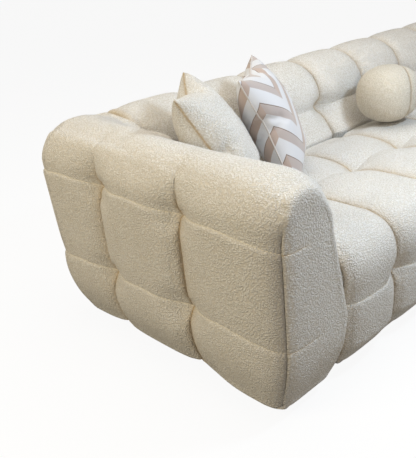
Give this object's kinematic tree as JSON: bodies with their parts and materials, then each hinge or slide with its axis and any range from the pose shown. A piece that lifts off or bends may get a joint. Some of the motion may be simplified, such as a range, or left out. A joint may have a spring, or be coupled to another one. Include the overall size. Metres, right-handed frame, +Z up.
{
  "type": "sectional sofa",
  "caption": "L-shaped tufted sectional sofa in cream boucle: low padded arms and back, channelled seat, chaise section that lifts off its hook connectors, loose throw pillows.",
  "frame": {"origin": "middle of the footprint, on the floor", "axes": "+X along the sofa towards the chaise end, +Y from the front to the back, +Z up"},
  "size_m": [3.7202, 1.7206, 0.8179],
  "materials": {
    "cream_boucle": "looped wool boucle",
    "chevron_cotton": "woven cotton",
    "pine_board": "sawn and sanded",
    "seat_webbing": "woven elastic webbing",
    "dust_cloth": "nonwoven cloth",
    "foot_plastic": "moulded",
    "zinc_steel": "zinc plated"
  },
  "bodies": {
    "sofa_section": {"socket_bracket_1": "zinc_steel", "socket_bracket_2": "zinc_steel", "sofa_arm_bolt_1": "zinc_steel", "sofa_arm_bolt_2": "zinc_steel", "sofa_arm_frame": "pine_board", "sofa_arm_pad": "cream_boucle", "sofa_arm_rail": "pine_board", "sofa_back_bolt_1": "zinc_steel", "sofa_back_bolt_2": "zinc_steel", "sofa_back_frame": "pine_board", "sofa_back_pad": "cream_boucle", "sofa_cross_rail_1": "pine_board", "sofa_cross_rail_2": "pine_board", "sofa_dust_cover": "dust_cloth", "sofa_front_left_foot": "foot_plastic", "sofa_front_middle_foot": "foot_plastic", "sofa_front_rail": "pine_board", "sofa_front_right_foot": "foot_plastic", "sofa_joint_rail": "pine_board", "sofa_rear_left_foot": "foot_plastic", "sofa_rear_middle_foot": "foot_plastic", "sofa_rear_rail": "pine_board", "sofa_rear_right_foot": "foot_plastic", "sofa_seat_pad": "cream_boucle", "sofa_seat_webbing": "seat_webbing"},
    "chaise_section": {"chaise_arm_bolt_1": "zinc_steel", "chaise_arm_bolt_2": "zinc_steel", "chaise_arm_frame": "pine_board", "chaise_arm_front_foot": "foot_plastic", "chaise_arm_pad": "cream_boucle", "chaise_arm_rail": "pine_board", "chaise_back_bolt_1": "zinc_steel", "chaise_back_bolt_2": "zinc_steel", "chaise_back_frame": "pine_board", "chaise_back_pad": "cream_boucle", "chaise_cross_rail": "pine_board", "chaise_dust_cover": "dust_cloth", "chaise_front_left_foot": "foot_plastic", "chaise_front_rail": "pine_board", "chaise_front_right_foot": "foot_plastic", "chaise_joint_rail": "pine_board", "chaise_middle_left_foot": "foot_plastic", "chaise_outrigger_left": "pine_board", "chaise_outrigger_right": "pine_board", "chaise_rear_left_foot": "foot_plastic", "chaise_rear_rail": "pine_board", "chaise_rear_right_foot": "foot_plastic", "chaise_seat_pad": "cream_boucle", "chaise_seat_webbing": "seat_webbing", "chaise_side_rail_left": "pine_board", "chaise_side_rail_right": "pine_board", "tongue_bracket_1": "zinc_steel", "tongue_bracket_2": "zinc_steel"},
    "cream_pillow_body": {"cream_pillow": "cream_boucle"},
    "chevron_pillow_body": {"chevron_pillow": "chevron_cotton"},
    "ball_pillow_body": {"ball_pillow": "cream_boucle"}
  },
  "joints": [
    {"name": "chaise_lift", "type": "slide", "parent": "sofa_section", "child": "chaise_section", "axis": [0, 0, 1], "range_m": [0, 0.07]},
    {"name": "cream_pillow_lift", "type": "slide", "parent": "sofa_section", "child": "cream_pillow_body", "axis": [0, 0.5446, 0.8387], "range_m": [0, 0.3]},
    {"name": "chevron_pillow_lift", "type": "slide", "parent": "sofa_section", "child": "chevron_pillow_body", "axis": [0, 0, 1], "range_m": [0, 0.35]},
    {"name": "ball_pillow_lift", "type": "slide", "parent": "sofa_section", "child": "ball_pillow_body", "axis": [0, 0, 1], "range_m": [0, 0.35]}
  ]
}
